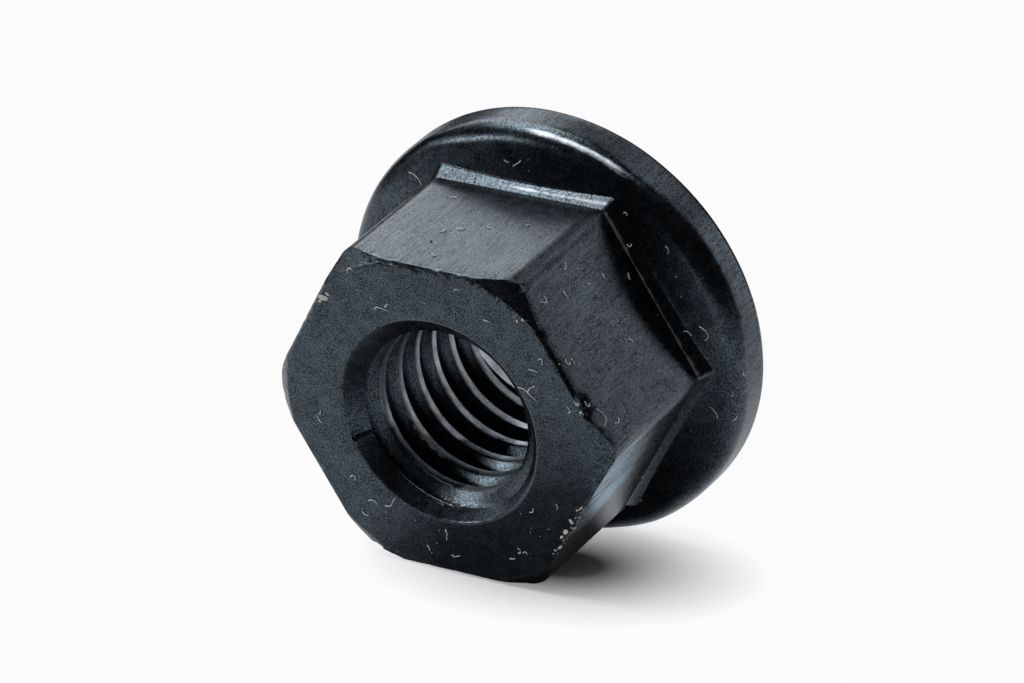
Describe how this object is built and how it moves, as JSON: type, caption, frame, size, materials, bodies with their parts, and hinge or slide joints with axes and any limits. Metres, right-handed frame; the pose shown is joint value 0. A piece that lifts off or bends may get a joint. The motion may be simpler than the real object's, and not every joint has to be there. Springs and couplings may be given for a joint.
{
  "type": "serrated flange nut",
  "caption": "Hexagon nut forged in one piece with a round flange, whose bearing face has ratchet serrations against loosening.",
  "frame": {"origin": "middle of the serrated bearing face, on the thread's axis", "axes": "+Z along the thread's axis from the bearing face to the hexagon's end face; one corner of the hexagon on +X"},
  "size_m": [0.0174, 0.0174, 0.0098],
  "materials": {
    "black_steel": "satin"
  },
  "bodies": {
    "root": {"flange_nut": "black_steel"}
  },
  "joints": []
}
